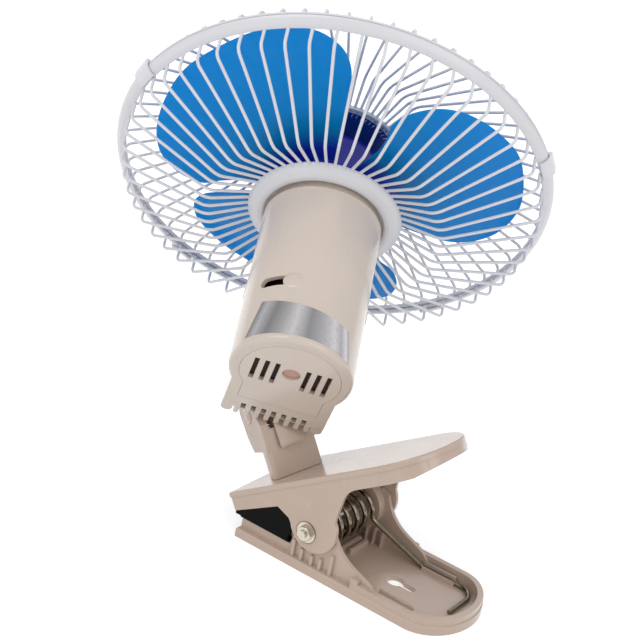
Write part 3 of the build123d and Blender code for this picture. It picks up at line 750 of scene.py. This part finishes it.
def makeBlade(s):
    petals = around(petalShape(s), s["petals"], s["phase"])
    reach = {"reach": [hypot(p[0], p[1]) / s["reach"] for p in petals[0]]}
    makePiece("bladePetals", petals, headFrame, "blueBlade", "rotor", ["fan_blade"], 50.0, reach)
    hub = latheShape(roundCorners(s["hub"], 0.6, 3, True), 96)
    fins = around(blockShape(*s["fin"]), s["fins"], s["finFirst"])
    makePiece("bladeHub", joinShapes([hub, fins]), headFrame, "navyHub", "rotor")


makeBlade(bladeForm)
print("blade made")


# label: a thin sheet of bare foil, curved on the housing; its colour carries painted reflections in bands
# across it
foilForm = {
    "radius": 29.33,
    "corners": [(-22.0, 100.2), (19.3, 105.2), (22.6, 120.4), (-25.6, 118.8)],
    "across": 60,
    "down": 12,
    "thick": 0.12,
}


def makeFoil(s):
    points = []
    faces = []
    value = []
    for layer in (0.0, -s["thick"]):
        for j in range(s["down"] + 1):
            v = j / s["down"]
            left = Vector(s["corners"][0]).lerp(Vector(s["corners"][3]), v)
            right = Vector(s["corners"][1]).lerp(Vector(s["corners"][2]), v)
            a0 = atan2(sqrt(s["radius"] ** 2 - left.x ** 2), left.x)
            a1 = atan2(sqrt(s["radius"] ** 2 - right.x ** 2), right.x)
            for i in range(s["across"] + 1):
                u = i / s["across"]
                a = a0 + (a1 - a0) * u
                r = s["radius"] + layer
                points.append(Vector((r * cos(a), r * sin(a), left.y + (right.y - left.y) * u)))
                value.append(u)
    wide = s["across"] + 1
    size = wide * (s["down"] + 1)
    for j in range(s["down"]):
        for i in range(s["across"]):
            a = j * wide + i
            faces.append((a, a + 1, a + wide + 1, a + wide))
            faces.append((size + a, size + a + wide, size + a + wide + 1, size + a + 1))
    border = list(range(wide))
    border += [j * wide + wide - 1 for j in range(1, s["down"] + 1)]
    border += [s["down"] * wide + i for i in range(wide - 2, -1, -1)]
    border += [j * wide for j in range(s["down"] - 1, 0, -1)]
    for k, a in enumerate(border):
        b = border[(k + 1) % len(border)]
        faces.append((b, a, size + a, size + b))
    shape = (points, faces)
    makePiece("foilLabel", shape, headFrame, "silverFoil", "head", ["label_foil"], 40.0, {"around": value})


makeFoil(foilForm)
print("foil made")


# painted shade: dark sheets behind the cover, the vents and the knob slot, where the inside is in shade; and
# the knob that slides in one of them
rearForm = {
    "coverShadeSheet": (-18.6, 18.6, -9.5, 9.5, 119.7, 120.5),
    "ventShadeSheet": (-18.0, 18.0, -36.1, -30.0, 119.9, 120.7),
    "knobSlotShadeSheet": (22.4, 23.0, -68, -10, 79.0, 98.0),
    "shadeSheetEdge": 0.1,
    "dimple": [(0.1, 121.62), (4.0, 121.62), (4.2, 121.8), (3.6, 121.74), (0.1, 121.72)],
    "dimpleAt": (0, 2.3, 0),
    "knobAngle": -26.5,
    "knobZ": 89.05,
    "capAngle": -22.8,
    "cap": [(0.1, 28.8), (4.4, 28.8), (4.6, 28.95), (4.3, 29.2), (3.4, 29.36), (0.1, 29.5)],
    "stem": [(0.1, 23.7), (2.2, 23.7), (2.2, 29.2), (0.1, 29.2)],
    "knobFoot": [(0.1, 24.1), (3.6, 24.1), (3.6, 25.5), (0.1, 25.5)],
}


def sheetArc(r0, r1, a0, a1, z0, z1, steps=24):
    # part of a tube, angles from the top
    points = []
    faces = []
    for k in range(steps + 1):
        a = radians(a0 + (a1 - a0) * k / steps)
        points += [Vector((r * sin(a), r * cos(a), z)) for r, z in ((r0, z0), (r1, z0), (r1, z1), (r0, z1))]
        if k:
            for j in range(4):
                i = (j + 1) % 4
                faces.append((4 * k - 4 + j, 4 * k - 4 + i, 4 * k + i, 4 * k + j))
    faces += [(0, 1, 2, 3), tuple(4 * steps + j for j in range(4))]
    return points, faces


def makeRearDetails(s):
    # painted shade: dark sheets that stand for the shaded inside behind the slots
    shadeSheets = [blockShape(*s[key], s["shadeSheetEdge"]) for key in ("coverShadeSheet", "ventShadeSheet")]
    shadeSheets.append(sheetArc(*s["knobSlotShadeSheet"]))
    makePiece("paintedSlotShade", joinShapes(shadeSheets), headFrame, "paintedDeepShade", "head")
    dimpleFrame = headFrame @ moved(*s["dimpleAt"])
    makePiece("coverDimple", latheShape(s["dimple"], 48), dimpleFrame, "recessShade", "head")
    out = headFrame @ moved(0, 0, s["knobZ"]) @ spun("Z", -s["knobAngle"]) @ spun("X", -90)
    toCap = (spun("X", 90) @ spun("Z", s["knobAngle"] - s["capAngle"]) @ spun("X", -90)).to_3x3()
    cap = latheShape(s["cap"], 48)
    cap = [toCap @ Vector(p) for p in cap[0]], cap[1]
    knob = joinShapes([cap, latheShape(s["stem"], 32), latheShape(s["knobFoot"], 48)])
    makePiece("slideKnob", knob, out, "shellPlastic", "knob", ["oscillation_knob"])


makeRearDetails(rearForm)
print("rear details made")


# neck: the knuckle's tongue in the rear face, and the covers over the cross bolt
neckForm = {
    "tongue": [(9.0, -15.0), (10.2, -16.8), (11.0, -15.6), (11.8, -9.0), (12.2, -5.4), (9.5, -4.2)],
    "half": 5.1,
    "plate": [(12.42, -19.0), (13.3, -19.2), (13.5, -17.6), (12.9, -9.0), (12.55, -5.0), (11.5, -5.0),
              (11.75, -9.5)],
    "plateHalf": 6.7,
    "cover": [(0.1, 0.0), (4.2, 0.0), (4.25, 0.2), (3.8, 0.45), (0.1, 0.6)],
    "coverAt": 13.26,
}


def makeNeckDetails(s):
    axis = neckFrame @ moved(*stance["tiltAt"])
    tongue = slabShape(roundCorners(s["tongue"], 1.2, 4, True), -s["half"], s["half"])
    plate = slabShape(roundCorners(s["plate"], 0.5, 3, True), -s["plateHalf"], s["plateHalf"], 0.7)
    makePiece("knuckleTongue", joinShapes([tongue, plate]), axis, "clipPlastic", "knuckle")
    for label, side in (("left", -1), ("right", 1)):
        out = axis @ moved(0, side * s["coverAt"], 0) @ spun("X", -90 * side)
        makePiece("boltCover." + label, latheShape(s["cover"], 40), out, "clipPlastic", "neck")


makeNeckDetails(neckForm)
print("neck details made")


# spring: long leg in the tray, coil round the bolt, short leg up front
springForm = {
    "wire": 1.2,
    "coil": 10.7,
    "first": 13.7,
    "pitch": 6.6,
    "start": 2.0,
    "turns": 4.348,
    "legY": 20.2,
    "legEnd": 70.3,
    "legTip": -4,
    "bend": 9.0,
    "floor": -16.95,
    "riseFrom": 41.5,         # where the long leg leaves the tray's floor
    "riseTo": (35.0, -0.6, 2.0),
    "meetsCoil": (16.0, 15.2, -5.0),
    "top": 16.0,
    "coilSteps": 170,
    "sides": 14,
    "cutEnd": 0.86,
}


def coilPoint(s, turn):
    a = radians(s["start"]) + 2 * pi * turn
    return Vector((s["coil"] * cos(a), s["first"] - s["pitch"] * turn, s["coil"] * sin(a)))


def coilHeading(s, turn):
    a = radians(s["start"]) + 2 * pi * turn
    return Vector((-sin(a), -s["pitch"] / (2 * pi * s["coil"]), cos(a))).normalized()


def arcPoints(p0, t0, p1, steps):
    chord = p1 - p0
    side = chord - t0 * chord.dot(t0)
    if side.length < 1e-6:
        return [p0.lerp(p1, k / steps) for k in range(1, steps + 1)]
    side.normalize()
    r = chord.length_squared / (2 * chord.dot(side))
    sweep = 2 * atan2(chord.dot(side), chord.dot(t0))
    turns = [sweep * k / steps for k in range(1, steps + 1)]
    return [p0 + t0 * (r * sin(a)) + side * (r * (1 - cos(a))) for a in turns]


def arcPair(p0, t0, p1, t1, steps=6):
    # two arcs that leave p0 along t0, arrive at p1 along t1 and share a tangent
    chord = p1 - p0
    both = chord.dot(t0 + t1)
    k = 2 * (1 - t0.dot(t1))
    reach = (sqrt(both * both + k * chord.dot(chord)) - both) / k
    joint = (p0 + t0 * reach + p1 - t1 * reach) * 0.5
    first = arcPoints(p0, t0, joint, steps)
    second = arcPoints(p1, -t1, joint, steps)
    return first + list(reversed(second[:-1])) + [p1]


def springPath(s):
    y = s["legY"]
    low = s["floor"]
    along = Vector((-1, 0, 0))
    riseX, riseIn, riseUp = s["riseTo"]
    corners = ((s["legEnd"], s["legTip"], low), (s["legEnd"], y - s["bend"], low),
               (s["legEnd"] - s["bend"], y, low), (s["riseFrom"], y, low),
               (riseX, y + riseIn, low + riseUp), s["meetsCoil"])
    p = [Vector(v) for v in corners]
    rise = (p[5] - p[4]).normalized()
    path = [p[0].lerp(p[1], k / 4) for k in range(5)]
    path += arcPair(p[1], Vector((0, 1, 0)), p[2], along)
    path += [p[2].lerp(p[3], k / 5) for k in range(1, 6)]
    path += arcPair(p[3], along, p[4], rise)
    path += [p[4].lerp(p[5], k / 6) for k in range(1, 7)]
    path += arcPair(p[5], rise, coilPoint(s, 0), coilHeading(s, 0))
    path += [coilPoint(s, s["turns"] * k / s["coilSteps"]) for k in range(1, s["coilSteps"] + 1)]
    end = path[-1]
    return path + [end + coilHeading(s, s["turns"]) * (s["top"] * k / 5) for k in range(1, 6)]


def makeSpring(s):
    path = springPath(s)
    taper = [s["cutEnd"]] + [1.0] * (len(path) - 2) + [s["cutEnd"]]
    wire = wireShape(path, s["wire"], s["sides"], taper)
    piece = makePiece("springWire", wire, lowerFrame, "springSteel", None, ["torsion_spring"], 60.0)
    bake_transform(piece)


makeSpring(springForm)
print("spring made")


# small moulded ribs of the two jaws
jawRibs = {
    "combX": (6.0, 10.5, 15.0),
    "combWide": 1.3,
    # y from and to, z from and to
    "farComb": (18.6, 22.4, -18.6, -9.5),
    "nearComb": (-22.4, -18.8, -18.6, -10.5),
    # x, y and z, each from and to
    "farRib": (39.5, 58.0, 21.7, 22.7, -18.4, -14.6),
    "nearRib": (38.5, 57.5, -15.6, -14.6, -18.4, -16.1),
    "ribEdge": 0.3,
    # slats under the rim of the upper jaw, on an arc about slatMiddle
    "slatAngles": (22, 51.5, -22, -51.5),
    "slatMiddle": 51,
    "slatReach": (26.3, 26.2),
    "slatHalf": 0.5,
    "slatZ": (18.4, 22.8),
    "slatEdge": 0.2,
}


def makeJawRibs(s):
    wide = s["combWide"]
    bars = [blockShape(x, x + wide, *s["farComb"], s["ribEdge"]) for x in s["combX"]]
    bars += [blockShape(x, x + wide, *s["nearComb"], s["ribEdge"]) for x in s["combX"][1:]]
    bars += [blockShape(*s[key], s["ribEdge"]) for key in ("farRib", "nearRib")]
    makePiece("lowerJawRibs", joinShapes(bars), lowerFrame, "clipPlastic", "lower_jaw")
    slats = []
    h = s["slatHalf"]
    for angle in s["slatAngles"]:
        side = 1 if angle > 0 else -1
        x = s["slatMiddle"] + s["slatReach"][0] * sin(radians(abs(angle)))
        y = s["slatReach"][1] * cos(radians(angle)) * side
        slats.append(blockShape(x - h, x + h, y - h, y + h, *s["slatZ"], s["slatEdge"]))
    makePiece("upperJawRibs", joinShapes(slats), upperFrame, "clipPlastic", "upper_jaw")


makeJawRibs(jawRibs)
print("jaw ribs made")
